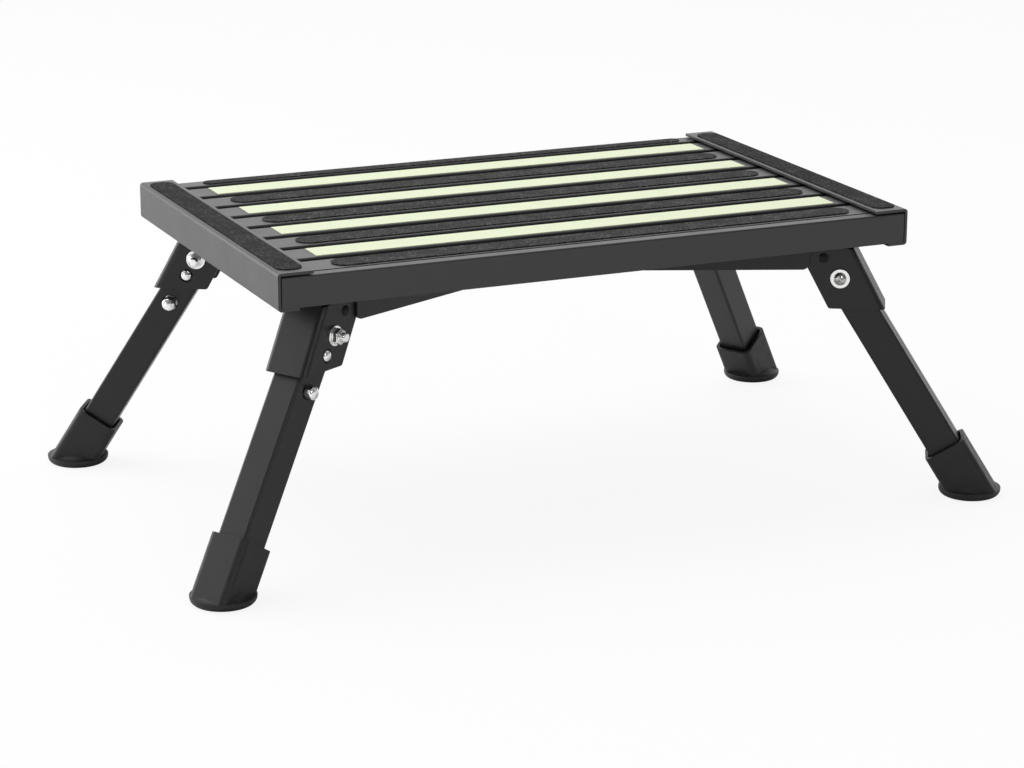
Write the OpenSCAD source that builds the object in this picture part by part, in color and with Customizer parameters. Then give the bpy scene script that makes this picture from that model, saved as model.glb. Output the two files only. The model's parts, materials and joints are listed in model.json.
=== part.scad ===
// Folding platform step for a caravan door, in millimetres.
// X runs along the ribs, -Y is the front, Z is up from the floor the feet stand on.
// Each leg is drawn about its own pivot, in a frame whose +X points outward over the foot,
// whose +Y is the side of the snap buttons, and whose axis is tilted with the leg.

/* [Platform] */
// Length over the two end channels
deck_l = 480; // [440:1:560]
// Depth from the front face to the back face
deck_w = 302; // [290:1:340]
// Height of the end channels' top above the floor
step_h = 216; // [190:1:240]
// Wall of the extruded deck sections
skin = 1.8; // [1.4:0.1:2.4]
// Gap between neighbouring deck sections
section_gap = 0.2; // [0.1:0.05:0.4]

/* [End channels] */
// Height of an end channel
channel_h = 26.5; // [24:0.5:34]
// Thickness of its walls, and of the leg channels' sheet
channel_t = 2; // [1.5:0.1:2.5]
// Width of its top flange
channel_top_w = 25.4; // [20:0.2:32]
// Width of its bottom flange
channel_bottom_w = 15; // [13:0.5:20]
// Radius of its two outer edges
channel_r = 2.5; // [1:0.1:3]
// Gap between a deck section's end and the channel's web
end_gap = 0.7; // [0.2:0.1:1]

/* [Ribs] */
// Drop from the channels' top to the rib tops
rib_drop = 3; // [2.6:0.1:4]
// Depth of the grooves between ribs
groove_d = 8; // [5:0.5:12]
// Width of those grooves
groove_w = 7.5; // [5:0.1:10]
// Width of the front rib, from the front face
front_rib_w = 37.7; // [34:0.1:44]
// Width of the back rib, up to the back face
back_rib_w = 16; // [12:0.1:20]
// Radius of the ribs' upper edges
rib_r = 1.2; // [0.5:0.1:1.5]
// Distance from the front face to the lip groove
lip_inset = 8.8; // [7:0.1:10]
// Width of the lip groove
lip_w = 2.2; // [1:0.1:3]
// Depth of the lip groove
lip_d = 1.1; // [0.4:0.1:1.2]

/* [Grip and glow strips] */
// Thickness of the grip tape
grip_t = 0.7; // [0.4:0.1:1]
// Bare edge beside the grip tape on a rib
grip_margin = 3.7; // [2:0.1:5]
// Bare edge beside the grip tape on the back rib
back_grip_margin = 2.4; // [1.5:0.1:4]
// Bare rib between the channel flange and the grip tape
grip_inset = 16; // [15:0.5:30]
// Bare edge beside the grip tape on an end channel
end_grip_margin = 3.6; // [2:0.1:5]
// Bare ends before and behind that tape
end_grip_inset = 7.5; // [3:0.5:12]
// Corner radius of that tape
end_grip_r = 7.5; // [1:0.5:8]
// Thickness of the luminous strip
glow_t = 0.5; // [0.3:0.1:1]
// Bare edge beside the luminous strip
glow_margin = 2.2; // [1:0.1:4]
// Bare rib between the channel flange and the luminous strip
glow_inset = 14; // [12:0.5:26]
// Shift of the deck's tapes and strips towards the right-hand end, as they are laid
strip_shift = 5.5; // [0:0.5:6]

/* [Leg layout] */
// Distance of the pivots from the platform's ends
pivot_inset_x = 36; // [30:0.5:44]
// Distance of the pivots from the front and back faces
pivot_inset_y = 31; // [28:0.5:40]
// Drop of the pivots below the end channels
pivot_drop = 24.3; // [22:0.1:28]
// Outward tilt of a standing leg from the vertical
leg_tilt = 32; // [26:0.5:36]

/* [Leg tubes] */
// Side of the square tube
tube_w = 24; // [22:0.5:26]
// Wall of the tube
tube_t = 1.8; // [1.2:0.1:2.5]
// Outer corner radius of the tube
tube_r = 2; // [1:0.1:3]
// Drop of the rounded end's middle below the pivot, to turn clear of the bracket's bends
end_drop = 0.6; // [0.5:0.1:1]

/* [Rubber feet] */
// Radius of the round sole
sole_r = 22.8; // [22:0.1:24]
// Thickness of the sole
sole_t = 6; // [5:0.1:7]
// Radius of the sole's lower edge
sole_edge_r = 5; // [1:0.1:5]
// Width of the flat lip round the sole's top
sole_lip = 0.4; // [0.3:0.1:1]
// Radius of the cove that flares from the sleeve to the lip
cove_r = 7.2; // [6.8:0.1:8]
// Height of the cove above the sole
cove_h = 5.3; // [4:0.1:5.5]
// Depth of the anti-slip rings in the sole
ring_d = 1.2; // [0.5:0.1:2]
// Width of those rings
ring_w = 2.2; // [1:0.1:3]
// Pitch of those rings
ring_pitch = 5; // [4:0.5:5.5]
// Wall of the sleeve round the tube
sleeve_t = 3.4; // [3.2:0.1:4]
// Gap between the sleeve and the tube
sleeve_gap = 0.6; // [0.3:0.1:0.8]
// Gap between the sleeve's wider mouth and the tube
mouth_gap = 1.6; // [1:0.1:2.4]
// Depth of that mouth
mouth_d = 5; // [2:0.5:10]
// Outer corner radius of the sleeve
sleeve_r = 5; // [3:0.1:6]
// Length of the sleeve along the leg, above the sole
sleeve_l = 37; // [25:0.5:45]
// Rubber between the tube's end and the sole
sleeve_floor = 3; // [2:0.5:6]

/* [Leg brackets] */
// Sheet thickness of the bracket
bracket_t = 1.8; // [1.5:0.1:2.5]
// Outer bend radius of the bracket
bracket_r = 4.5; // [3:0.1:5]
// Outward tilt of the bracket from the vertical, a little steeper than the leg
bracket_tilt = 28; // [24:0.5:32]
// Gap between the standing tube and the web's lower edge
stop_gap = 2.4; // [0.4:0.1:3]
// Gap between the tube and each flange
side_gap = 4; // [2:0.1:4.5]
// Reach of the flanges inward from the pivot, square to the web
flange_reach = 17.5; // [15:0.5:19]
// Height of the bracket below the platform
bracket_h = 47; // [42:0.5:50]
// Length of the bracket's top tab
tab_l = 46; // [44:0.5:52]
// Radius of the flanges' lower inner corners
flange_corner_r = 2.5; // [1:0.1:4]
// Radius of the relief holes at the tab's bends
relief_r = 2; // [1:0.1:2.5]

/* [Leg channels] */
// Depth of the leg channel's walls below the platform at their outer ends
arm_h = 18; // [14:0.5:24]
// Slope of the walls' lower edges, down towards their inner ends
arm_slope = 2; // [0:0.5:4]
// Distance of the walls' outer ends inward from the pivot
arm_start = 22.5; // [20:0.5:28]
// Distance of the leg channel's inner end from the pivot
arm_end = 146; // [138:0.5:148]
// Radius of the walls' lower corners
arm_r = 5; // [2:0.5:8]
// Gap between the walls and the bracket's flanges
arm_gap = 0.1; // [0:0.05:0.5]

/* [Pivot hardware] */
// Radius of the pivot bolt
bolt_r = 3; // [2.5:0.1:3.5]
// Running clearance of the leg on the bolt
bolt_clear = 0.06; // [0.02:0.01:0.1]
// Clearance of the holes that the bolt only passes
pass_clear = 0.1; // [0.05:0.05:0.3]
// Radius of the bolt's head
head_r = 4.6; // [4:0.1:6]
// Height of the bolt's head
head_h = 3.2; // [2.5:0.1:4]
// Length of the recess's two slots
recess_l = 5.4; // [4:0.1:6]
// Width of those slots
recess_w = 1.2; // [0.8:0.1:1.6]
// Depth of those slots
recess_d = 1.6; // [1:0.1:2]
// Radius of the steel washers
washer_r = 7; // [6:0.1:8]
// Thickness of the steel washers
washer_t = 1.4; // [1:0.1:2]
// Width of the lock nut across its flats
nut_w = 10; // [8:0.5:11]
// Height of the nut's hexagon
nut_h = 4.6; // [4:0.1:6]
// Height of the nut's collar
collar_h = 1.2; // [1:0.1:2]
// Length of bolt beyond the nut
bolt_end = 1.4; // [1:0.1:5]
// Radius of the plastic liners beside the tube
liner_r = 8; // [6:0.1:9]
// Gap between each liner and the tube
liner_gap = 0.4; // [0.3:0.1:0.8]
// Radius of the bush inside the tube
bush_r = 4.4; // [4:0.1:5]

/* [Snap clip] */
// Radius of the upper, locking button
lock_r = 4; // [3:0.1:4.2]
// Radius of the lower, release button
press_r = 4.75; // [4:0.05:5]
// Gap round each button in the tube
button_gap = 0.9; // [0.3:0.1:1]
// Distance of the locking button below the pivot
lock_z = 14.8; // [14:0.1:16]
// Distance of the release button below the pivot
press_z = 41.8; // [38:0.1:46]
// Height of the buttons' tips above the bracket's flange
button_proud = 1.7; // [1:0.1:3]
// Thickness of the spring leaf
leaf_t = 0.8; // [0.6:0.1:1]
// Width of the spring leaf
leaf_w = 10; // [8:0.5:14]
// Gap between the leaf and the tube's wall
leaf_gap = 0.4; // [0.2:0.1:0.6]
// Distance of the leaf's bend below the pivot
leaf_z = 76; // [66:1:90]
// Distance of the leaf's two upper ends below the pivot
leaf_top = 9.4; // [8:0.1:10]
// Radius of the leaf's bend
leaf_r = 4; // [3:0.1:5]

/* [Rivets] */
// Distances of the rivets through the brackets' tabs, inward from the pivot
tab_rivets = [9, 33];
// Distances of the rivets through the leg channels alone, inward from the pivot
arm_rivets = [74, 130];
// Radius of the rivets' shanks
rivet_r = 2.1; // [1.6:0.1:2.6]
// Radius of the rivets' heads
rivet_head_r = 3.6; // [3:0.1:4.5]
// Height of the rivets' heads
rivet_head_h = 1.4; // [1:0.1:2]
// Clearance of the rivets' shanks
rivet_clear = 0.05; // [0.02:0.01:0.1]
// Length of rivet inside a deck section
rivet_tail = 4; // [3:0.5:6]
// Distance of the flange rivet above the pivot, along the leg
cross_z = 19; // [19:0.1:22]
// Distance of the flange rivet inward of the leg's axis
cross_x = 2.5; // [2:0.1:5]

/* [Hidden] */
$fn = 48;

// Legs in the order front left, back left, front right, back right
LEG_SIDES = [[-1, -1], [-1, 1], [1, -1], [1, 1]];
LEGS = [0:3];
FAR = 400;
EPS = 0.01;
// Depth that one form of a piece runs into another form of the same piece
SINK = 0.2;

section_z = step_h - channel_h + channel_t;
rib_z = step_h - rib_drop;
groove_z = rib_z - groove_d;
under_z = step_h - channel_h;
section_l = deck_l - 2 * channel_t - 2 * end_gap;
flange_x = deck_l / 2 - channel_top_w;
grip_l = 2 * (flange_x - grip_inset);
glow_l = 2 * (flange_x - glow_inset);
end_grip_l = deck_w - 2 * end_grip_inset;

// Ribs from front to back, each [near edge, far edge]
MIDDLE_RIBS = 7;
rib_w = (deck_w - front_rib_w - back_rib_w - (MIDDLE_RIBS + 1) * groove_w) / MIDDLE_RIBS;
first_y = -deck_w / 2 + front_rib_w + groove_w;
ribs = concat(
    [[-deck_w / 2, first_y - groove_w]],
    [for (k = [0:MIDDLE_RIBS - 1], y = [first_y + k * (rib_w + groove_w)]) [y, y + rib_w]],
    [[deck_w / 2 - back_rib_w, deck_w / 2]]
);

// Deck sections from front to back, each [first rib, last rib]
SECTIONS = [[0, 0], [1, 2], [3, 4], [5, 6], [7, 8]];
function joint_y(k) = k < 0 ? -deck_w / 2
    : k > MIDDLE_RIBS ? deck_w / 2
    : (ribs[k][1] + ribs[k + 1][0]) / 2;
function section_gap_at(k) = k < 0 || k > MIDDLE_RIBS ? 0 : section_gap / 2;
function section_middle(s) = (joint_y(s[0] - 1) + joint_y(s[1])) / 2;

pivot_x = deck_l / 2 - pivot_inset_x;
pivot_y = deck_w / 2 - pivot_inset_y;
pivot_z = under_z - pivot_drop;
function leg_azimuth(i) = atan2(LEG_SIDES[i].y * pivot_y, LEG_SIDES[i].x * pivot_x);
function leg_point(i, inward) = [
    LEG_SIDES[i].x * pivot_x - inward * cos(leg_azimuth(i)),
    LEG_SIDES[i].y * pivot_y - inward * sin(leg_azimuth(i)),
];

sleeve_in = tube_w + 2 * sleeve_gap;
sleeve_w = sleeve_in + 2 * sleeve_t;
mouth_in = tube_w + 2 * mouth_gap;
sole_axis = (pivot_z - sole_t) / cos(leg_tilt);
sole_x = sole_axis * sin(leg_tilt);
tube_end = sole_axis - tube_w / 2 * tan(leg_tilt) - sleeve_floor;

// Where a plane that leans by tilt and passes the pivot at x, square to it, crosses the height z
function level_x(tilt, x, z) = (x - z * sin(tilt)) / cos(tilt);

foot_z = pivot_drop - bracket_h;
web_x = level_x(leg_tilt, tube_w / 2, foot_z) * cos(bracket_tilt) + foot_z * sin(bracket_tilt) + stop_gap;
flange_y = tube_w / 2 + side_gap;
outer_y = flange_y + bracket_t;
liner_t = side_gap - liner_gap;
arm_y = outer_y + arm_gap;
tube_in = tube_w / 2 - tube_t;
leaf_y = tube_in - leaf_gap - leaf_t;
tip_y = outer_y + button_proud;

channel_rivet_x = deck_l / 2 - channel_bottom_w / 2 - channel_t / 2;

module round_rect(l, w, r) {
    square([l - 2 * r, w], center = true);
    square([l, w - 2 * r], center = true);
    for (x = [-1, 1], y = [-1, 1])
        translate([x * (l / 2 - r), y * (w / 2 - r)])
            circle(r);
}

module stadium(l, w) {
    square([l - w, w], center = true);
    for (x = [-1, 1])
        translate([x * (l - w) / 2, 0])
            circle(w / 2);
}

// A block on the line y = 0 whose two upper corners are rounded
module round_top(w, h, r) {
    square([w, h - r]);
    translate([r, 0])
        square([w - 2 * r, h]);
    for (x = [r, w - r])
        translate([x, h - r])
            circle(r);
}

// Turns an outline in Y and Z into a bar along X
module along_x(l) {
    rotate([90, 0, 90])
        linear_extrude(l, center = true)
            children();
}

// Turns an outline in X and Z into a bar along Y
module along_y(l) {
    rotate([90, 0, 0])
        linear_extrude(l, center = true)
            children();
}

// Round stud standing on z = 0, of height h in all, whose upper part is a dome
module domed(r, h, dome) {
    ball_r = (r * r + dome * dome) / (2 * dome);
    rotate_extrude()
        intersection() {
            square([r, h]);
            translate([0, h - ball_r])
                circle(ball_r, $fn = 96);
        }
}

module at_pivot(i) {
    translate([LEG_SIDES[i].x * pivot_x, LEG_SIDES[i].y * pivot_y, pivot_z])
        rotate([0, 0, leg_azimuth(i)])
            children();
}

module tilted(tilt = leg_tilt) {
    rotate([0, -tilt, 0])
        children();
}

module end_channel_profile() {
    difference() {
        union() {
            translate([-deck_l / 2 + channel_r, under_z])
                square([channel_top_w - channel_r, channel_h]);
            translate([-deck_l / 2, under_z + channel_r])
                square([channel_r + EPS, channel_h - 2 * channel_r]);
            for (z = [channel_r, channel_h - channel_r])
                translate([-deck_l / 2 + channel_r, under_z + z])
                    circle(channel_r);
        }
        translate([-deck_l / 2 + channel_t, under_z + channel_t])
            square([channel_top_w, channel_h - 2 * channel_t]);
        translate([-deck_l / 2 + channel_bottom_w, under_z - EPS])
            square([channel_top_w, channel_h / 2]);
    }
}

module end_channel(side) {
    color("dimgray")
        mirror([side > 0 ? 1 : 0, 0, 0])
            difference() {
                along_y(deck_w)
                    end_channel_profile();
                for (s = SECTIONS)
                    translate([-channel_rivet_x, section_middle(s), under_z - EPS])
                        cylinder(r = rivet_r + rivet_clear, h = channel_t + 2 * EPS);
            }
}

// Hollow extrusion carrying the ribs from first to last
module section_profile(first, last) {
    front = joint_y(first - 1) + section_gap_at(first - 1);
    back = joint_y(last) - section_gap_at(last);
    difference() {
        union() {
            translate([front, section_z])
                square([back - front, groove_z - section_z]);
            for (k = [first:last])
                translate([ribs[k][0], section_z])
                    round_top(ribs[k][1] - ribs[k][0], rib_z - section_z, rib_r);
        }
        for (k = [first:last]) {
            near = k == first ? front + skin : joint_y(k - 1) + skin / 2;
            far = k == last ? back - skin : joint_y(k) - skin / 2;
            translate([near, section_z + skin])
                square([far - near, groove_z - section_z - 2 * skin]);
            translate([ribs[k][0] + skin, section_z + skin])
                square([ribs[k][1] - ribs[k][0] - 2 * skin, rib_z - section_z - 2 * skin]);
        }
    }
}

module rivet_holes() {
    for (i = LEGS, d = concat(tab_rivets, arm_rivets))
        translate(concat(leg_point(i, d), [section_z - EPS]))
            cylinder(r = rivet_r + rivet_clear, h = rivet_tail + 2 * EPS);
    for (x = [-1, 1], s = SECTIONS)
        translate([x * channel_rivet_x, section_middle(s), section_z - EPS])
            cylinder(r = rivet_r + rivet_clear, h = rivet_tail + 2 * EPS);
}

module deck_section(s) {
    color("dimgray")
        difference() {
            along_x(section_l)
                section_profile(s[0], s[1]);
            rivet_holes();
        }
}

module front_rail() {
    color("dimgray")
        difference() {
            along_x(section_l)
                difference() {
                    section_profile(SECTIONS[0][0], SECTIONS[0][1]);
                    translate([-deck_w / 2 + lip_inset, rib_z - lip_d])
                        square([lip_w, lip_d + EPS]);
                }
            rivet_holes();
        }
}

module end_grip(side) {
    color([0.2, 0.2, 0.21])
        translate([side * (deck_l / 2 - channel_top_w / 2), 0, step_h])
            linear_extrude(grip_t)
                round_rect(channel_top_w - 2 * end_grip_margin, end_grip_l, end_grip_r);
}

// The front rib's tape is as wide as the others and lies behind the lip groove
function grip_w(k) = k > MIDDLE_RIBS ? back_rib_w - 2 * back_grip_margin : rib_w - 2 * grip_margin;
function grip_y(k) = k > 0 ? (ribs[k][0] + ribs[k][1]) / 2
    : (ribs[0][0] + lip_inset + lip_w + ribs[0][1]) / 2;

module deck_grip(k) {
    color([0.2, 0.2, 0.21])
        translate([strip_shift, grip_y(k), rib_z])
            linear_extrude(grip_t)
                stadium(grip_l, grip_w(k));
}

module glow_strip(k) {
    color([0.9, 0.95, 0.75])
        translate([strip_shift - glow_l / 2, ribs[k][0] + glow_margin, rib_z])
            cube([glow_l, rib_w - 2 * glow_margin, glow_t]);
}

// The spandrel between a corner at the origin and a round of radius r in it: one side of the
// corner runs towards -X and the other at the given angle from it
module spandrel(r, angle) {
    run = r / tan(angle / 2);
    difference() {
        polygon([[EPS, EPS], [-run, 0], [-run, -r], [-run * cos(angle), -run * sin(angle)]]);
        translate([-run, -r])
            circle(r);
    }
}

// A leg channel's wall, hanging from the line y = 0 and running towards -X
module arm_outline() {
    reach = arm_end - arm_start;
    near_h = channel_t + arm_h;
    far_h = near_h + reach * tan(arm_slope);
    difference() {
        polygon([[0, 0], [-reach, 0], [-reach, -far_h], [0, -near_h]]);
        translate([0, -near_h])
            rotate(arm_slope)
                mirror([0, 1])
                    spandrel(arm_r, 90 + arm_slope);
        translate([-reach, -far_h])
            rotate(180 + arm_slope)
                spandrel(arm_r, 90 - arm_slope);
    }
}

// Inverted channel that the leg folds into
module leg_channel(i) {
    color("dimgray")
        at_pivot(i)
            difference() {
                union() {
                    for (side = [-1, 1])
                        translate([-arm_start, side * (arm_y + channel_t / 2), pivot_drop + channel_t])
                            along_y(channel_t)
                                arm_outline();
                    translate([-arm_end, -arm_y - channel_t, pivot_drop])
                        cube([arm_end, 2 * (arm_y + channel_t), channel_t]);
                }
                for (d = concat(tab_rivets, arm_rivets))
                    translate([-d, 0, pivot_drop - EPS])
                        cylinder(r = rivet_r + rivet_clear, h = channel_t + 2 * EPS);
            }
}

// Half of the bent sheet's outline across the leg: web on +X, flange on +Y
module bracket_outline() {
    inner_r = bracket_r - bracket_t;
    difference() {
        union() {
            translate([-flange_reach, -outer_y])
                square([flange_reach + web_x + bracket_t - bracket_r, 2 * outer_y]);
            translate([0, -outer_y + bracket_r])
                square([web_x + bracket_t, 2 * (outer_y - bracket_r)]);
            for (y = [-1, 1])
                translate([web_x + bracket_t - bracket_r, y * (outer_y - bracket_r)])
                    circle(bracket_r);
        }
        translate([-flange_reach - EPS, -flange_y])
            square([flange_reach + web_x - inner_r, 2 * flange_y]);
        translate([0, -flange_y + inner_r])
            square([web_x, 2 * (flange_y - inner_r)]);
        for (y = [-1, 1])
            translate([web_x - inner_r, y * (flange_y - inner_r)])
                circle(inner_r);
    }
}

// The bent sheet is trimmed level with the platform, above and below; its web turns over into
// a tab under the leg channel's roof
module leg_bracket(i) {
    bend = 90 + bracket_tilt;
    tab_z = pivot_drop - bracket_t;
    web_top = level_x(bracket_tilt, web_x, pivot_drop);
    tab_half = flange_y - relief_r;
    color("dimgray")
        at_pivot(i)
            difference() {
                union() {
                    intersection() {
                        tilted(bracket_tilt)
                            linear_extrude(FAR, center = true)
                                bracket_outline();
                        translate([-FAR / 2, -FAR / 2, foot_z])
                            cube([FAR, FAR, bracket_h]);
                    }
                    translate([web_top - tab_l, -tab_half, tab_z])
                        cube([tab_l + bracket_t, 2 * tab_half, bracket_t]);
                    translate([level_x(bracket_tilt, web_x, tab_z), 0, tab_z])
                        along_y(2 * tab_half)
                            spandrel(bracket_r - bracket_t, bend);
                }
                translate([level_x(bracket_tilt, web_x + bracket_t, pivot_drop), 0, pivot_drop])
                    along_y(FAR)
                        spandrel(bracket_r, bend);
                translate([level_x(bracket_tilt, -flange_reach, foot_z), 0, foot_z])
                    rotate([0, 180, 0])
                        along_y(FAR)
                            spandrel(flange_corner_r, bend);
                for (side = [-1, 1])
                    translate([web_top, side * flange_y, pivot_drop - relief_r / 2])
                        rotate([0, 90, 0])
                            cylinder(r = relief_r, h = 2 * bracket_r, center = true);
                for (d = tab_rivets)
                    translate([-d, 0, tab_z - EPS])
                        cylinder(r = rivet_r + rivet_clear, h = bracket_t + 2 * EPS);
                tilted() {
                    rotate([90, 0, 0])
                        cylinder(r = bolt_r + pass_clear, h = 3 * outer_y, center = true);
                    translate([-cross_x, 0, cross_z])
                        rotate([90, 0, 0])
                            cylinder(r = rivet_r + rivet_clear, h = 3 * outer_y, center = true);
                    translate([0, flange_y - EPS, -lock_z])
                        rotate([-90, 0, 0])
                            cylinder(r = lock_r + button_gap, h = 2 * bracket_t);
                }
            }
}

// Square tube with its upper end rounded about the pivot, so that it turns clear of the web
module leg_tube(i) {
    color([0.16, 0.16, 0.17])
        at_pivot(i)
            tilted()
                difference() {
                    intersection() {
                        translate([0, 0, -tube_end])
                            linear_extrude(tube_end + tube_w)
                                difference() {
                                    round_rect(tube_w, tube_w, tube_r);
                                    square(2 * tube_in, center = true);
                                }
                        translate([0, 0, -end_drop]) {
                            rotate([90, 0, 0])
                                cylinder(r = tube_w / 2, h = 2 * tube_w, center = true, $fn = 96);
                            translate([-tube_w, -tube_w, -FAR])
                                cube([2 * tube_w, 2 * tube_w, FAR]);
                        }
                    }
                    rotate([90, 0, 0])
                        cylinder(r = bolt_r + bolt_clear, h = 2 * tube_w, center = true);
                    translate([0, tube_in - EPS, -lock_z])
                        rotate([-90, 0, 0])
                            cylinder(r = lock_r + button_gap, h = 2 * tube_t);
                    translate([0, tube_in - EPS, -press_z])
                        rotate([-90, 0, 0])
                            cylinder(r = press_r + button_gap, h = 2 * tube_t);
                }
}

// Round sole with a bowl-shaped edge, a cove that runs up to the sleeve, and three anti-slip
// rings in its underside
module sole() {
    rotate_extrude($fn = 96)
        difference() {
            union() {
                square([sole_r - sole_edge_r, sole_t]);
                translate([0, sole_edge_r])
                    square([sole_r, sole_t - sole_edge_r]);
                translate([sole_r - sole_edge_r, sole_edge_r])
                    circle(sole_edge_r);
                translate([0, sole_edge_r])
                    square([sole_r - sole_lip, sole_t + cove_h - sole_edge_r]);
            }
            translate([sole_r - sole_lip, sole_t + cove_r])
                circle(cove_r);
            translate([sole_r - sole_lip, sole_t])
                square([sole_lip + EPS, cove_r]);
            for (k = [1:3])
                translate([k * ring_pitch, -EPS])
                    square([ring_w, ring_d + EPS]);
        }
}

module rubber_foot(i) {
    color([0.12, 0.12, 0.12])
        at_pivot(i)
            difference() {
                union() {
                    intersection() {
                        tilted()
                            translate([0, 0, -sole_axis - sole_r])
                                linear_extrude(sleeve_l + sole_r)
                                    round_rect(sleeve_w, sleeve_w, sleeve_r);
                        translate([0, -FAR / 2, sole_t - SINK - pivot_z])
                            cube([FAR, FAR, FAR]);
                    }
                    translate([sole_x, 0, -pivot_z])
                        sole();
                }
                tilted() {
                    translate([0, 0, -tube_end])
                        linear_extrude(tube_end)
                            round_rect(sleeve_in, sleeve_in, tube_r + sleeve_gap);
                    translate([0, 0, sleeve_l - sole_axis - mouth_d])
                        linear_extrude(tube_end)
                            round_rect(mouth_in, mouth_in, tube_r + mouth_gap);
                }
            }
}

module pivot_bush(i) {
    color("gainsboro")
        at_pivot(i)
            tilted()
                rotate([90, 0, 0])
                    difference() {
                        cylinder(r = bush_r, h = 2 * tube_in, center = true);
                        cylinder(r = bolt_r + bolt_clear, h = 3 * tube_in, center = true);
                    }
}

module snap_button(r) {
    translate([0, leaf_y + leaf_t / 2, 0])
        rotate([-90, 0, 0])
            domed(r, tip_y - leaf_y - leaf_t / 2, r / 3);
}

// Spring leaf bent into a V inside the tube: one arm carries the buttons, the other bears on
// the far wall
module leaf_outline() {
    arm_l = leaf_z - leaf_top;
    bend_y = leaf_y + leaf_t - leaf_r;
    lean = asin((bend_y - leaf_r + tube_in - leaf_gap) / arm_l);
    reach = 2 * leaf_r;
    translate([leaf_y, -leaf_z])
        square([leaf_t, arm_l]);
    translate([bend_y, -leaf_z]) {
        intersection() {
            difference() {
                circle(leaf_r);
                circle(leaf_r - leaf_t);
            }
            polygon([[0, 0], [reach, 0], [reach, -reach], [-reach, -reach],
                [-reach * cos(lean), -reach * sin(lean)]]);
        }
        rotate(lean)
            translate([-leaf_r, 0])
                square([leaf_t, arm_l]);
    }
}

module snap_clip(i) {
    color("silver")
        at_pivot(i)
            tilted() {
                rotate([90, 0, 90])
                    linear_extrude(leaf_w, center = true)
                        leaf_outline();
                translate([0, 0, -lock_z])
                    snap_button(lock_r);
                translate([0, 0, -press_z])
                    snap_button(press_r);
            }
}

module pivot_bolt() {
    rotate([90, 0, 0]) {
        translate([0, 0, -outer_y - washer_t - nut_h - collar_h - bolt_end])
            cylinder(r = bolt_r, h = 2 * (outer_y + washer_t) + nut_h + collar_h + bolt_end + EPS);
        translate([0, 0, outer_y + washer_t])
            difference() {
                domed(head_r, head_h, head_h * 2 / 3);
                for (turn = [0, 90])
                    rotate([0, 0, turn])
                        translate([0, 0, head_h])
                            cube([recess_l, recess_w, 2 * recess_d], center = true);
            }
    }
}

module pivot_bolts() {
    color("silver")
        for (i = LEGS)
            at_pivot(i)
                tilted()
                    pivot_bolt();
}

module pivot_nuts() {
    color("silver")
        for (i = LEGS)
            at_pivot(i)
                tilted()
                    translate([0, outer_y + washer_t, 0])
                        rotate([-90, 0, 0])
                            difference() {
                                union() {
                                    cylinder(d = nut_w / cos(30), h = nut_h, $fn = 6);
                                    cylinder(d = nut_w * 0.9, h = nut_h + collar_h);
                                }
                                translate([0, 0, -EPS])
                                    cylinder(r = bolt_r + bolt_clear, h = nut_h + collar_h + 2 * EPS);
                            }
}

module pivot_washers() {
    color("silver")
        for (i = LEGS, side = [-1, 1])
            at_pivot(i)
                tilted()
                    translate([0, side * (outer_y + washer_t / 2), 0])
                        rotate([90, 0, 0])
                            difference() {
                                cylinder(r = washer_r, h = washer_t, center = true);
                                cylinder(r = bolt_r + pass_clear, h = 2 * washer_t, center = true);
                            }
}

module pivot_liners() {
    color("whitesmoke")
        for (i = LEGS, side = [-1, 1])
            at_pivot(i)
                tilted()
                    translate([0, side * (flange_y - liner_t / 2), 0])
                        rotate([90, 0, 0])
                            difference() {
                                cylinder(r = liner_r, h = liner_t, center = true);
                                cylinder(r = bolt_r + pass_clear, h = 2 * liner_t, center = true);
                            }
}

module flange_rivets() {
    color([0.1, 0.1, 0.1])
        for (i = LEGS)
            at_pivot(i)
                tilted()
                    translate([-cross_x, 0, cross_z]) {
                        rotate([90, 0, 0])
                            cylinder(r = rivet_r, h = 2 * outer_y, center = true);
                        for (turn = [-90, 90])
                            rotate([turn, 0, 0])
                                translate([0, 0, outer_y])
                                    domed(rivet_head_r, rivet_head_h, rivet_head_h * 0.8);
                    }
}

module hanging_rivet(z) {
    translate([0, 0, z]) {
        mirror([0, 0, 1])
            domed(rivet_head_r, rivet_head_h, rivet_head_h * 0.8);
        cylinder(r = rivet_r, h = section_z + rivet_tail - z);
    }
}

module deck_rivets() {
    color([0.1, 0.1, 0.1])
        for (i = LEGS) {
            for (d = tab_rivets)
                translate(leg_point(i, d))
                    hanging_rivet(under_z - bracket_t);
            for (d = arm_rivets)
                translate(leg_point(i, d))
                    hanging_rivet(under_z);
        }
}

module channel_rivets() {
    color([0.1, 0.1, 0.1])
        for (x = [-1, 1], s = SECTIONS)
            translate([x * channel_rivet_x, section_middle(s)])
                hanging_rivet(under_z);
}

end_channel(-1);  // end_channel_left
end_channel(1);  // end_channel_right
front_rail();
deck_section(SECTIONS[1]);  // deck_plank_1
deck_section(SECTIONS[2]);  // deck_plank_2
deck_section(SECTIONS[3]);  // deck_plank_3
deck_section(SECTIONS[4]);  // back_rail
end_grip(-1);  // end_grip_left
end_grip(1);  // end_grip_right
deck_grip(0);  // deck_grip_1
deck_grip(2);  // deck_grip_2
deck_grip(4);  // deck_grip_3
deck_grip(6);  // deck_grip_4
deck_grip(8);  // deck_grip_5
glow_strip(1);  // glow_strip_1
glow_strip(3);  // glow_strip_2
glow_strip(5);  // glow_strip_3
glow_strip(7);  // glow_strip_4
leg_channel(0);  // leg_channel_front_left
leg_channel(1);  // leg_channel_back_left
leg_channel(2);  // leg_channel_front_right
leg_channel(3);  // leg_channel_back_right
leg_bracket(0);  // leg_bracket_front_left
leg_bracket(1);  // leg_bracket_back_left
leg_bracket(2);  // leg_bracket_front_right
leg_bracket(3);  // leg_bracket_back_right
leg_tube(0);  // leg_tube_front_left
leg_tube(1);  // leg_tube_back_left
leg_tube(2);  // leg_tube_front_right
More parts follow.
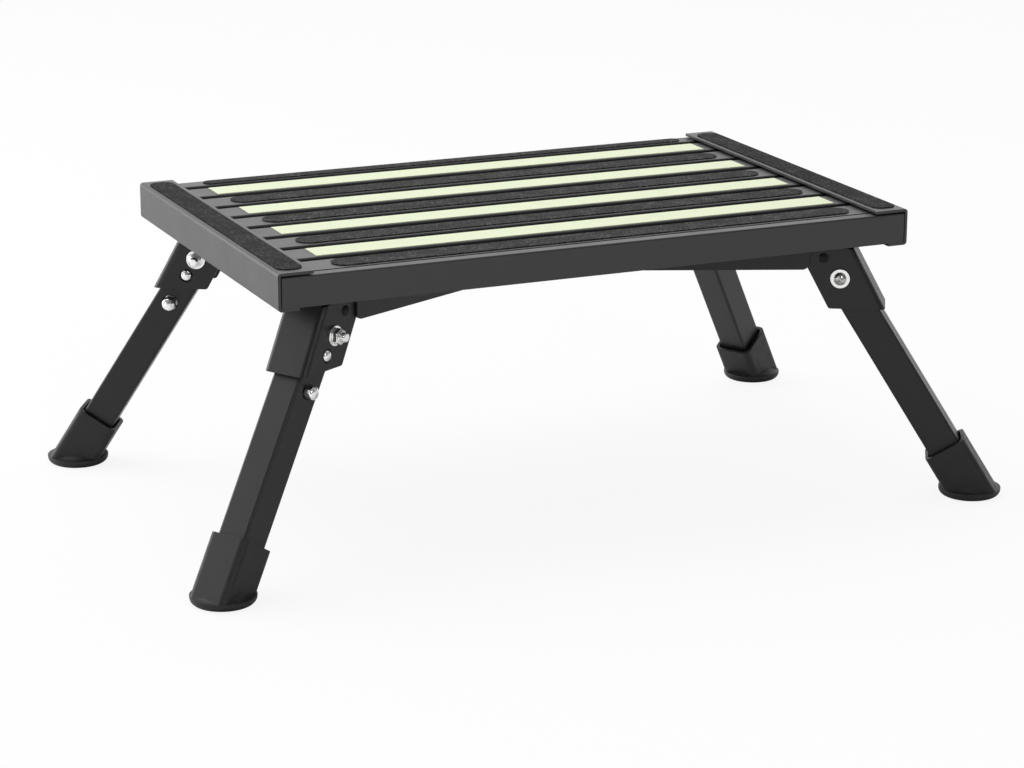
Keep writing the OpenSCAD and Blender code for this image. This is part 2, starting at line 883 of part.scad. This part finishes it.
leg_tube(3);  // leg_tube_back_right
rubber_foot(0);  // rubber_foot_front_left
rubber_foot(1);  // rubber_foot_back_left
rubber_foot(2);  // rubber_foot_front_right
rubber_foot(3);  // rubber_foot_back_right
pivot_bush(0);  // pivot_bush_front_left
pivot_bush(1);  // pivot_bush_back_left
pivot_bush(2);  // pivot_bush_front_right
pivot_bush(3);  // pivot_bush_back_right
snap_clip(0);  // snap_clip_front_left
snap_clip(1);  // snap_clip_back_left
snap_clip(2);  // snap_clip_front_right
snap_clip(3);  // snap_clip_back_right
pivot_bolts();
pivot_nuts();
pivot_washers();
pivot_liners();
flange_rivets();
deck_rivets();
channel_rivets();
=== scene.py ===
"""Looks of the folding caravan entry step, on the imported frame. Metres throughout."""

import json
import math

import bmesh
import bpy
from mathutils import Matrix, Vector


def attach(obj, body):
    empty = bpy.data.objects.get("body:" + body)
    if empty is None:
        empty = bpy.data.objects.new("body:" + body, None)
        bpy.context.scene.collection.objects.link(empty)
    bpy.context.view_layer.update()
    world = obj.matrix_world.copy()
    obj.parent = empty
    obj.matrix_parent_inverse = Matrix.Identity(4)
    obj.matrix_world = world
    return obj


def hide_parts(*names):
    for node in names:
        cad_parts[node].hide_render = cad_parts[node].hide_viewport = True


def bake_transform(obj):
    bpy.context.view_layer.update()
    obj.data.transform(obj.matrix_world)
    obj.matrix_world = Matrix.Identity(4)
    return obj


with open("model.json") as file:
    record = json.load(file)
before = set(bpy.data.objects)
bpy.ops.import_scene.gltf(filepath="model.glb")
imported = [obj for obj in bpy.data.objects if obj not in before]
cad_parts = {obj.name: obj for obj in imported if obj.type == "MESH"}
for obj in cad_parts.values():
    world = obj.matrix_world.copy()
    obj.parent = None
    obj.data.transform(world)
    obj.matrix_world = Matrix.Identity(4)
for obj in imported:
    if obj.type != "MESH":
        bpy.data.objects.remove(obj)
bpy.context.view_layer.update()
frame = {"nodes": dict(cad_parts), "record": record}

NODES = frame["nodes"]
LEGS = ("front_left", "back_left", "front_right", "back_right")


# Camera: the photograph's, solved from the platform's outline and the feet

CAMERA_PLACE = (-0.913518, -2.050437, 0.724724)
CAMERA_YAW, CAMERA_PITCH, CAMERA_ROLL = (math.radians(angle) for angle in (23.921, 16.202, 0.09))
FOCAL_PX = 3142.589     # focal length in the photograph's pixels
PHOTO_W_PX = 1024
SENSOR_W_MM = 36.0


def make_camera():
    level = math.cos(CAMERA_PITCH)
    forward = Vector((math.sin(CAMERA_YAW) * level, math.cos(CAMERA_YAW) * level, -math.sin(CAMERA_PITCH)))
    right = forward.cross(Vector((0, 0, 1))).normalized()
    up = right.cross(forward)
    turned_right = math.cos(CAMERA_ROLL) * right + math.sin(CAMERA_ROLL) * up
    turned_up = -math.sin(CAMERA_ROLL) * right + math.cos(CAMERA_ROLL) * up
    data = bpy.data.cameras.new("camera")
    data.sensor_fit = "HORIZONTAL"
    data.sensor_width = SENSOR_W_MM
    data.lens = FOCAL_PX / PHOTO_W_PX * SENSOR_W_MM
    data.clip_start = 0.05
    data.clip_end = 50
    camera = bpy.data.objects.new("camera", data)
    bpy.context.scene.collection.objects.link(camera)
    axes = Matrix((turned_right, turned_up, -forward)).transposed().to_4x4()
    camera.matrix_world = Matrix.Translation(CAMERA_PLACE) @ axes
    bpy.context.scene.camera = camera


# Node helpers

NOISE_SPAN = (0.3, 0.7)     # where most of a noise's values lie


class Tree:
    """A material's node tree with short ways to add and link nodes."""

    def __init__(self, name):
        self.material = bpy.data.materials.new(name)
        self.material.use_nodes = True
        self.nodes = self.material.node_tree.nodes
        self.links = self.material.node_tree.links
        self.shader = self.nodes["Principled BSDF"]

    def add(self, kind, **values):
        """A new node. Each value goes to the input of that name, or else to the property."""
        node = self.nodes.new(kind)
        for key, value in values.items():
            if key in node.inputs:
                node.inputs[key].default_value = value
            else:
                setattr(node, key, value)
        return node

    def link(self, out_socket, in_socket):
        self.links.new(out_socket, in_socket)

    def feed(self, socket, value):
        """Give a socket a number or another node's output."""
        if isinstance(value, (int, float)):
            socket.default_value = value
        else:
            self.link(value, socket)

    def position(self):
        return self.add("ShaderNodeTexCoord").outputs["Object"]

    def noise(self, size, detail=2.0, stretch=(1, 1, 1)):
        """Noise whose features are about size metres wide."""
        node = self.add("ShaderNodeTexNoise", Detail=detail, Scale=1.0)
        mapping = self.add("ShaderNodeMapping")
        mapping.inputs["Scale"].default_value = [s / size for s in stretch]
        self.link(self.position(), mapping.inputs["Vector"])
        self.link(mapping.outputs["Vector"], node.inputs["Vector"])
        return node.outputs["Fac"]

    def cells(self, size, output="Distance"):
        """Cells about size metres wide."""
        node = self.add("ShaderNodeTexVoronoi", Scale=1.0 / size)
        self.link(self.position(), node.inputs["Vector"])
        return node.outputs[output]

    def ramp(self, value, stops):
        """stops: (place, grey or colour) pairs."""
        node = self.add("ShaderNodeValToRGB")
        while len(node.color_ramp.elements) < len(stops):
            node.color_ramp.elements.new(0.5)
        for element, (place, colour) in zip(node.color_ramp.elements, stops):
            element.position = place
            if isinstance(colour, (int, float)):
                colour = (colour, colour, colour)
            element.color = (*colour, 1)
        self.link(value, node.inputs["Fac"])
        return node.outputs["Color"]

    def to_range(self, value, low, high, span=NOISE_SPAN):
        """The value's span stretched to low and high."""
        node = self.add("ShaderNodeMapRange")
        limits = {"From Min": span[0], "From Max": span[1], "To Min": low, "To Max": high}
        for name, limit in limits.items():
            node.inputs[name].default_value = limit
        self.link(value, node.inputs["Value"])
        return node.outputs["Result"]

    def combine(self, operation, a, b):
        node = self.add("ShaderNodeMath", operation=operation)
        self.feed(node.inputs[0], a)
        self.feed(node.inputs[1], b)
        return node.outputs[0]

    def weigh(self, a, share, b):
        """That share of a and the rest of b."""
        return self.combine("ADD", self.combine("MULTIPLY", a, share), self.combine("MULTIPLY", b, 1 - share))

    def bump(self, height, distance, strength, edge=None):
        """Bumps of that depth in metres, over edges that are rounded by the radius edge."""
        node = self.add("ShaderNodeBump", Strength=strength, Distance=distance)
        self.link(height, node.inputs["Height"])
        if edge:
            bevel = self.add("ShaderNodeBevel", samples=6, Radius=edge)
            self.link(bevel.outputs["Normal"], node.inputs["Normal"])
        self.link(node.outputs["Normal"], self.shader.inputs["Normal"])

    def set(self, **values):
        for key, value in values.items():
            self.feed(self.shader.inputs[key.replace("_", " ")], value)


# Materials

COAT_TINT = (1, 1.015, 1.05)
GRIT_W, FINE_GRIT_W = 0.0013, 0.0006
GRIT_TONES = ((0.0, 0.004), (0.45, 0.012), (0.62, 0.04), (0.78, 0.11), (1.0, 0.2))


def powder_coat(name, tone, gloss, rough=0.40):
    """Fine black powder coat: orange peel, slightly uneven gloss, faint dust."""
    t = Tree(name)
    cloud = t.noise(0.03, detail=3)
    peel = t.noise(0.0011)
    speck = t.noise(0.0004, detail=1)
    low, high = ([tone * share * tint for tint in COAT_TINT] for share in (0.84, 1.16))
    t.set(
        Base_Color=t.ramp(cloud, [(0.3, low), (0.7, high)]),
        Roughness=t.to_range(t.weigh(cloud, 0.5, speck), rough - 0.06, rough + 0.06),
        Specular_IOR_Level=gloss,
    )
    t.bump(t.weigh(peel, 0.7, speck), 0.00006, 0.5, edge=0.0005)
    return t.material


def grip_tape(name, shade, gloss):
    """Mineral grit in black resin: coarse and fine grains, some of them bright, in broad worn clouds."""
    t = Tree(name)
    grain = t.weigh(t.cells(GRIT_W, "Color"), 0.55, t.cells(FINE_GRIT_W, "Color"))
    worn = t.noise(0.014, detail=4)
    tone = t.combine("ADD", grain, t.to_range(worn, -0.1, 0.1))
    t.set(
        Base_Color=t.ramp(tone, [(place, shade * grey) for place, grey in GRIT_TONES]),
        Roughness=t.to_range(grain, 0.62, 0.95, span=(0, 1)),
        Specular_IOR_Level=gloss,
    )
    pits = t.combine("MULTIPLY", t.cells(GRIT_W), -1.0)
    t.bump(t.combine("ADD", pits, t.noise(FINE_GRIT_W)), 0.0006, 0.9)
    return t.material


def glow_film():
    """Pale yellow-green luminous film with a fine tooth and slight soiling."""
    t = Tree("luminous_strip")
    cloud = t.noise(0.02, detail=3)
    t.set(
        Base_Color=t.ramp(cloud, [(0.25, (0.76, 0.825, 0.585)), (0.75, (0.81, 0.875, 0.625))]),
        Roughness=t.to_range(cloud, 0.5, 0.62),
        IOR=1.46,
    )
    t.bump(t.cells(0.0006), 0.00012, 0.35)
    return t.material


def foot_rubber():
    """Moulded rubber: matt, faintly mottled, with soft edges."""
    t = Tree("foot_rubber")
    cloud = t.noise(0.009, detail=4)
    t.set(
        Base_Color=t.ramp(cloud, [(0.3, (0.011, 0.011, 0.0112)), (0.7, (0.018, 0.018, 0.0183))]),
        Roughness=t.to_range(cloud, 0.42, 0.58),
        Specular_IOR_Level=0.38,
    )
    t.bump(t.noise(0.0007), 0.00012, 0.45, edge=0.0008)
    return t.material


def plated_steel(name, tone, rough):
    """Nickel or zinc plate with fine turning marks."""
    t = Tree(name)
    cloud = t.noise(0.003, detail=3)
    marks = t.noise(0.0003, stretch=(1, 1, 0.2))
    dull = (tone, tone * 0.995, tone * 0.985)
    bright = (tone + 0.06, tone + 0.06, tone + 0.055)
    t.set(
        Base_Color=t.ramp(cloud, [(0.3, dull), (0.7, bright)]),
        Metallic=1.0,
        Roughness=t.to_range(marks, rough - 0.05, rough + 0.07),
    )
    t.bump(marks, 0.00002, 0.3, edge=0.0003)
    return t.material


def dark_satin(name, colour, rough):
    """Nylon and black zinc."""
    t = Tree(name)
    cloud = t.noise(0.004, detail=3)
    shaded = tuple(0.85 * c for c in colour)
    t.set(
        Base_Color=t.ramp(cloud, [(0.3, shaded), (0.7, colour)]),
        Roughness=t.to_range(cloud, rough - 0.06, rough + 0.06),
        Specular_IOR_Level=0.2,
    )
    t.bump(t.noise(0.0005), 0.00004, 0.4, edge=0.0003)
    return t.material


# By material slot, and by finish where finish_of() sets a node apart
MATERIALS = {
    "powder_coat": powder_coat("powder_coat", tone=0.015, gloss=0.70),
    "leg_coat": powder_coat("leg_coat", tone=0.008, gloss=0.44),
    "grip_tape": grip_tape("grip_tape", shade=1.0, gloss=0.22),
    "end_tape": grip_tape("end_tape", shade=0.75, gloss=0.14),
    "luminous_strip": glow_film(),
    "foot_rubber": foot_rubber(),
    "plated_steel": plated_steel("plated_steel", 0.86, 0.13),
    "spring_steel": plated_steel("spring_steel", 0.88, 0.16),
    # A darker copy of the plated steel: painted shade standing in for the shade in the bolt heads' recesses.
    "bolt_steel_painted_shade": plated_steel("bolt_steel_painted_shade", 0.42, 0.12),
    "liner_nylon": dark_satin("liner_nylon", (0.02, 0.02, 0.02), 0.45),
    "black_rivet": dark_satin("black_rivet", (0.006, 0.006, 0.0062), 0.42),
}


def dress(obj, finish):
    obj.data.materials.clear()
    obj.data.materials.append(MATERIALS[finish])


def finish_of(part):
    """The legs' coat and the end tapes are darker than the deck's, and the bolts darker than other plate, as painted
    shade for the shade in their heads' recesses.
    """
    if part["node"].startswith(("leg_tube", "leg_bracket", "leg_channel")):
        return "leg_coat"
    if part["node"].startswith("end_grip"):
        return "end_tape"
    # Darker plate on the bolts: painted shade for their heads' recesses.
    if part["node"] == "pivot_bolts":
        return "bolt_steel_painted_shade"
    return part["material_slot"]


def dress_nodes():
    for part in frame["record"]["subparts"]:
        dress(NODES[part["node"]], finish_of(part))


# Standing legs: each has a frame of its own, with X outward, Y towards the buttons and Z up its axis

PIVOT = Vector((0.204, 0.120, 0.1652))
TILT = math.radians(32)
ALONG_Y = Matrix.Rotation(math.radians(-90), 4, "X")    # turns a shape round Z into one round Y


def leg_matrix(leg):
    """From the frame of a standing leg to the world."""
    side = Vector((1 if "right" in leg else -1, 1 if "back" in leg else -1))
    pivot = Vector((side.x * PIVOT.x, side.y * PIVOT.y, PIVOT.z))
    turn = Matrix.Rotation(math.atan2(pivot.y, pivot.x), 4, "Z")
    return Matrix.Translation(pivot) @ turn @ Matrix.Rotation(-TILT, 4, "Y")


# Mesh helpers

def add_lathe(mesh, profile, matrix, steps=40, ring=False):
    """profile: (radius, height) pairs round Z, closed where the radius is 0, or in a loop where it is a ring.

    A radius may also be a function of the angle."""
    rings = []
    for radius, height in profile:
        if radius == 0:
            rings.append([mesh.verts.new(matrix @ Vector((0, 0, height)))])
            continue
        rings.append([])
        for angle in (2 * math.pi * k / steps for k in range(steps)):
            size = radius(angle) if callable(radius) else radius
            corner = Vector((size * math.cos(angle), size * math.sin(angle), height))
            rings[-1].append(mesh.verts.new(matrix @ corner))
    for a, b in zip(rings, rings[1:] + rings[:1] if ring else rings[1:]):
        for k in range(steps):
            corners = [a[k % len(a)], a[(k + 1) % len(a)], b[(k + 1) % len(b)], b[k % len(b)]]
            kept = [v for n, v in enumerate(corners) if v not in corners[:n]]
            mesh.faces.new(kept)


def make_object(name, mesh, matrix, slot, smooth_below):
    """An object of that mesh, moved by the matrix, smooth where faces meet at less than that many degrees."""
    bmesh.ops.recalc_face_normals(mesh, faces=mesh.faces)
    data = bpy.data.meshes.new(name)
    mesh.to_mesh(data)
    mesh.free()
    data.transform(matrix)
    data.shade_smooth()
    data.set_sharp_from_angle(angle=math.radians(smooth_below))
    obj = bpy.data.objects.new(name, data)
    bpy.context.scene.collection.objects.link(obj)
    dress(obj, slot)
    return obj


# Snap clips: one spring leaf with two buttons, bent round between the tube and its front arm

LEAF_FACE = 0.0098      # outer face of the front arm, on the leg's Y
LEAF_T = 0.0008
LEAF_HALF_W = 0.005
LEAF_TOP = -0.0094      # on the leg's Z
BEND_Z = -0.076         # middle of the leaf's bend
BEND_R = 0.0036
BACK_WALL = -0.0098     # where the back arm's middle line ends, on the leg's Y
BUTTON_TIP = 0.0195
BUTTON_SINK = 0.0002    # how far the buttons' feet reach into the leaf
BUTTON_DOME = 0.5       # height of a button's dome as a share of its radius
BUTTONS = ((-0.0148, 0.004), (-0.0418, 0.00475))    # height on the leg's Z and radius
ARM_STEPS, BEND_STEPS, DOME_STEPS = 24, 12, 10


def leaf_path():
    """Middle line of the leaf in the leg's Y and Z, from the front arm's top round the bend to the back arm's."""
    front = LEAF_FACE - LEAF_T / 2
    middle = front - BEND_R
    arm = LEAF_TOP - BEND_Z
    lean = math.asin((middle - BEND_R - BACK_WALL) / arm)
    foot_y = middle - BEND_R * math.cos(lean)
    foot_z = BEND_Z + BEND_R * math.sin(lean)
    points = [(front, LEAF_TOP - arm * k / ARM_STEPS) for k in range(ARM_STEPS + 1)]
    for k in range(1, BEND_STEPS):
        angle = (math.pi + lean) * k / BEND_STEPS
        points.append((middle + BEND_R * math.cos(angle), BEND_Z - BEND_R * math.sin(angle)))
    for k in range(ARM_STEPS + 1):
        points.append((foot_y - arm * math.sin(lean) * k / ARM_STEPS, foot_z + arm * math.cos(lean) * k / ARM_STEPS))
    return points


def add_leaf(mesh):
    path = leaf_path()
    outline = ((-LEAF_HALF_W, 1), (LEAF_HALF_W, 1), (LEAF_HALF_W, -1), (-LEAF_HALF_W, -1))
    rings = []
    for k, (y, z) in enumerate(path):
        (y0, z0), (y1, z1) = path[max(k - 1, 0)], path[min(k + 1, len(path) - 1)]
        size = math.hypot(y1 - y0, z1 - z0)
        across_y, across_z = -(z1 - z0) / size * LEAF_T / 2, (y1 - y0) / size * LEAF_T / 2
        rings.append([mesh.verts.new((x, y + turn * across_y, z + turn * across_z)) for x, turn in outline])
    for a, b in zip(rings, rings[1:]):
        for k in range(4):
            mesh.faces.new((a[k], a[(k + 1) % 4], b[(k + 1) % 4], b[k]))
    mesh.faces.new(rings[0][::-1])
    mesh.faces.new(rings[-1])


def add_button(mesh, height, radius):
    foot = LEAF_FACE - BUTTON_SINK
    dome = BUTTON_DOME * radius
    wall = BUTTON_TIP - dome
    profile = [(0, foot), (radius, foot), (radius, wall)]
    for k in range(1, DOME_STEPS):
        angle = math.pi / 2 * k / DOME_STEPS
        profile.append((radius * math.cos(angle), wall + dome * math.sin(angle)))
    add_lathe(mesh, profile + [(0, BUTTON_TIP)], Matrix.Translation((0, 0, height)) @ ALONG_Y)


def make_snap_clip(leg):
    mesh = bmesh.new()
    add_leaf(mesh)
    for height, radius in BUTTONS:
        add_button(mesh, height, radius)
    matrix = leg_matrix(leg)
    clip = make_object("snap_clip_form_" + leg, mesh, matrix, "spring_steel", smooth_below=35)
    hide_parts("snap_clip_" + leg)
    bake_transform(clip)


# Pivot hardware: the nuts' chamfers and rings and the bolts' threaded ends, all along the leg's Y

WASHER_FACE = 0.0192    # outer face of the nut's washer, on the leg's Y
BOLT_R = 0.003
BORE_R = BOLT_R + 0.0001
BOLT_END = 0.0036       # length of thread beyond the nut
THREAD_PITCH = 0.001
THREAD_DEPTH = 0.0003
THREAD_RINGS = 36
TIP_TAPER = 0.2         # share of its radius that the thread loses at the tip
TIP_LENGTH = 0.6 * THREAD_PITCH
NUT_HALF_W = 0.005
NUT_H = 0.0046
CHAMFER_SLOPE = math.tan(math.radians(30))
CHAMFER_STEPS = [0.0001 * k for k in range(7)]
COLLAR_R = 0.0045
COLLAR_H = 0.0012
RECESS_R = 0.0036       # of the locking ring in the collar


def hexagon(limit):
    """Radius of the nut's hexagon at an angle, cut by a cone of that radius."""
    def radius(angle):
        off_flat = angle % (math.pi / 3) - math.pi / 6
        return min(NUT_HALF_W / math.cos(off_flat), limit)
    return radius


def add_nut(mesh, matrix):
    cone = [(step, hexagon(0.96 * NUT_HALF_W + step / CHAMFER_SLOPE)) for step in CHAMFER_STEPS]
    top = NUT_H + COLLAR_H
    ring_z = NUT_H + 0.5 * COLLAR_H
    profile = [(BORE_R, 0)]
    profile += [(radius, step) for step, radius in cone]
    profile += [(radius, NUT_H - step) for step, radius in reversed(cone)]
    profile += [(COLLAR_R, NUT_H), (COLLAR_R, NUT_H + 0.6 * COLLAR_H), (0.93 * COLLAR_R, NUT_H + 0.9 * COLLAR_H),
                (0.85 * COLLAR_R, top), (RECESS_R, top), (RECESS_R, ring_z), (BORE_R, ring_z)]
    add_lathe(mesh, profile, matrix, steps=72, ring=True)


def thread(height, shrink):
    """Radius of the thread at that height, at an angle."""
    def radius(angle):
        turn = (height / THREAD_PITCH + angle / (2 * math.pi)) % 1
        return (BOLT_R + THREAD_DEPTH * (1 - abs(2 * turn - 1))) * shrink
    return radius


def add_bolt_end(mesh, matrix):
    start, end = NUT_H + 0.4 * COLLAR_H, NUT_H + COLLAR_H + BOLT_END
    profile = [(0, start)]
    for k in range(THREAD_RINGS + 1):
        height = start + (end - start) * k / THREAD_RINGS
        shrink = min(1, 1 - TIP_TAPER + TIP_TAPER * (end - height) / TIP_LENGTH)
        profile.append((thread(height, shrink), height))
    add_lathe(mesh, profile + [(0, end)], matrix, steps=48)


def make_pivot_hardware():
    nuts, ends = bmesh.new(), bmesh.new()
    for leg in LEGS:
        matrix = leg_matrix(leg) @ Matrix.Translation((0, WASHER_FACE, 0)) @ ALONG_Y
        add_nut(nuts, matrix)
        add_bolt_end(ends, matrix)
    nuts = make_object("pivot_nut_forms", nuts, Matrix(), "plated_steel", smooth_below=25)
    ends = make_object("bolt_ends", ends, Matrix(), "plated_steel", smooth_below=25)
    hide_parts("pivot_nuts")
    for piece in (nuts, ends):
        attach(piece, "platform")


# Stage and light

FLOOR_HALF = 9.0
FLOOR_WHITE = 0.88      # how much of the floor the camera sees as plain white
ROOM_FRONT = 0.22       # level of the room behind the camera
ROOM_BACK = 1.25        # level of the room behind the step
ROOM_TURN = (-0.7, 0.9)     # where the level starts and ends to rise, on the direction's Y

# Name, place, target, size and watts
SOFTBOXES = (
    ("key", (-0.7, 0.6, 2.4), (0, 0, 0.1), (1.6, 1.6), 16),
    ("left", (-2.0, 1.8, 0.8), (-0.1, 0, 0.15), (1.5, 1.7), 30),
    ("front", (0.0, -2.7, 1.4), (0, 0, 0.1), (0.4, 1.0), 10),
    ("strip", (-2.2, -0.8, 0.3), (-0.2, -0.1, 0.12), (0.25, 1.0), 4),
)


def floor_material():
    """Pale floor that the camera sees as nearly white, and that is open from below, to show the underside."""
    t = Tree("floor")
    t.nodes.remove(t.shader)
    diffuse = t.add("ShaderNodeBsdfDiffuse")
    t.link(t.ramp(t.noise(0.5), [(0.3, 0.90), (0.7, 0.92)]), diffuse.inputs["Color"])
    white = t.add("ShaderNodeEmission", Strength=1.0)
    seen = t.add("ShaderNodeLightPath").outputs["Is Camera Ray"]
    top = t.add("ShaderNodeMixShader")
    t.link(t.combine("MULTIPLY", seen, FLOOR_WHITE), top.inputs["Fac"])
    t.link(diffuse.outputs[0], top.inputs[1])
    t.link(white.outputs[0], top.inputs[2])
    both = t.add("ShaderNodeMixShader")
    t.link(t.add("ShaderNodeNewGeometry").outputs["Backfacing"], both.inputs["Fac"])
    t.link(top.outputs[0], both.inputs[1])
    t.link(t.add("ShaderNodeBsdfTransparent").outputs[0], both.inputs[2])
    t.link(both.outputs[0], t.nodes["Material Output"].inputs["Surface"])
    return t.material


def make_floor():
    mesh = bpy.data.meshes.new("floor")
    corners = [(x * FLOOR_HALF, y * FLOOR_HALF, 0) for x, y in ((-1, -1), (1, -1), (1, 1), (-1, 1))]
    mesh.from_pydata(corners, [], [(0, 1, 2, 3)])
    mesh.materials.append(floor_material())
    floor = bpy.data.objects.new("floor", mesh)
    bpy.context.scene.collection.objects.link(floor)


def make_room():
    """A studio that is bright behind the step and dim behind the camera, seen as white."""
    world = bpy.data.worlds.new("studio")
    bpy.context.scene.world = world
    world.use_nodes = True
    nodes, links = world.node_tree.nodes, world.node_tree.links
    background = nodes["Background"]
    background.inputs["Color"].default_value = (1, 1, 1, 1)
    facing = nodes.new("ShaderNodeSeparateXYZ")
    links.new(nodes.new("ShaderNodeTexCoord").outputs["Generated"], facing.inputs[0])
    room = nodes.new("ShaderNodeMapRange")
    room.interpolation_type = "SMOOTHSTEP"
    limits = {"From Min": ROOM_TURN[0], "From Max": ROOM_TURN[1], "To Min": ROOM_FRONT, "To Max": ROOM_BACK}
    for name, limit in limits.items():
        room.inputs[name].default_value = limit
    links.new(facing.outputs["Y"], room.inputs["Value"])
    level = nodes.new("ShaderNodeMix")
    links.new(nodes.new("ShaderNodeLightPath").outputs["Is Camera Ray"], level.inputs["Factor"])
    links.new(room.outputs["Result"], level.inputs["A"])
    level.inputs["B"].default_value = 1.0
    links.new(level.outputs["Result"], background.inputs["Strength"])


def add_softbox(name, place, target, size, watts):
    data = bpy.data.lights.new(name, "AREA")
    data.shape = "RECTANGLE"
    data.size, data.size_y = size
    data.energy = watts
    light = bpy.data.objects.new(name, data)
    bpy.context.scene.collection.objects.link(light)
    place, target = Vector(place), Vector(target)
    aim = (place - target).to_track_quat("Z", "Y").to_matrix().to_4x4()
    light.matrix_world = Matrix.Translation(place) @ aim


def main():
    make_camera()
    dress_nodes()
    for leg in LEGS:
        make_snap_clip(leg)
    make_pivot_hardware()
    make_floor()
    make_room()
    for softbox in SOFTBOXES:
        add_softbox(*softbox)
    scene = bpy.context.scene
    scene.view_settings.view_transform = "Standard"


main()
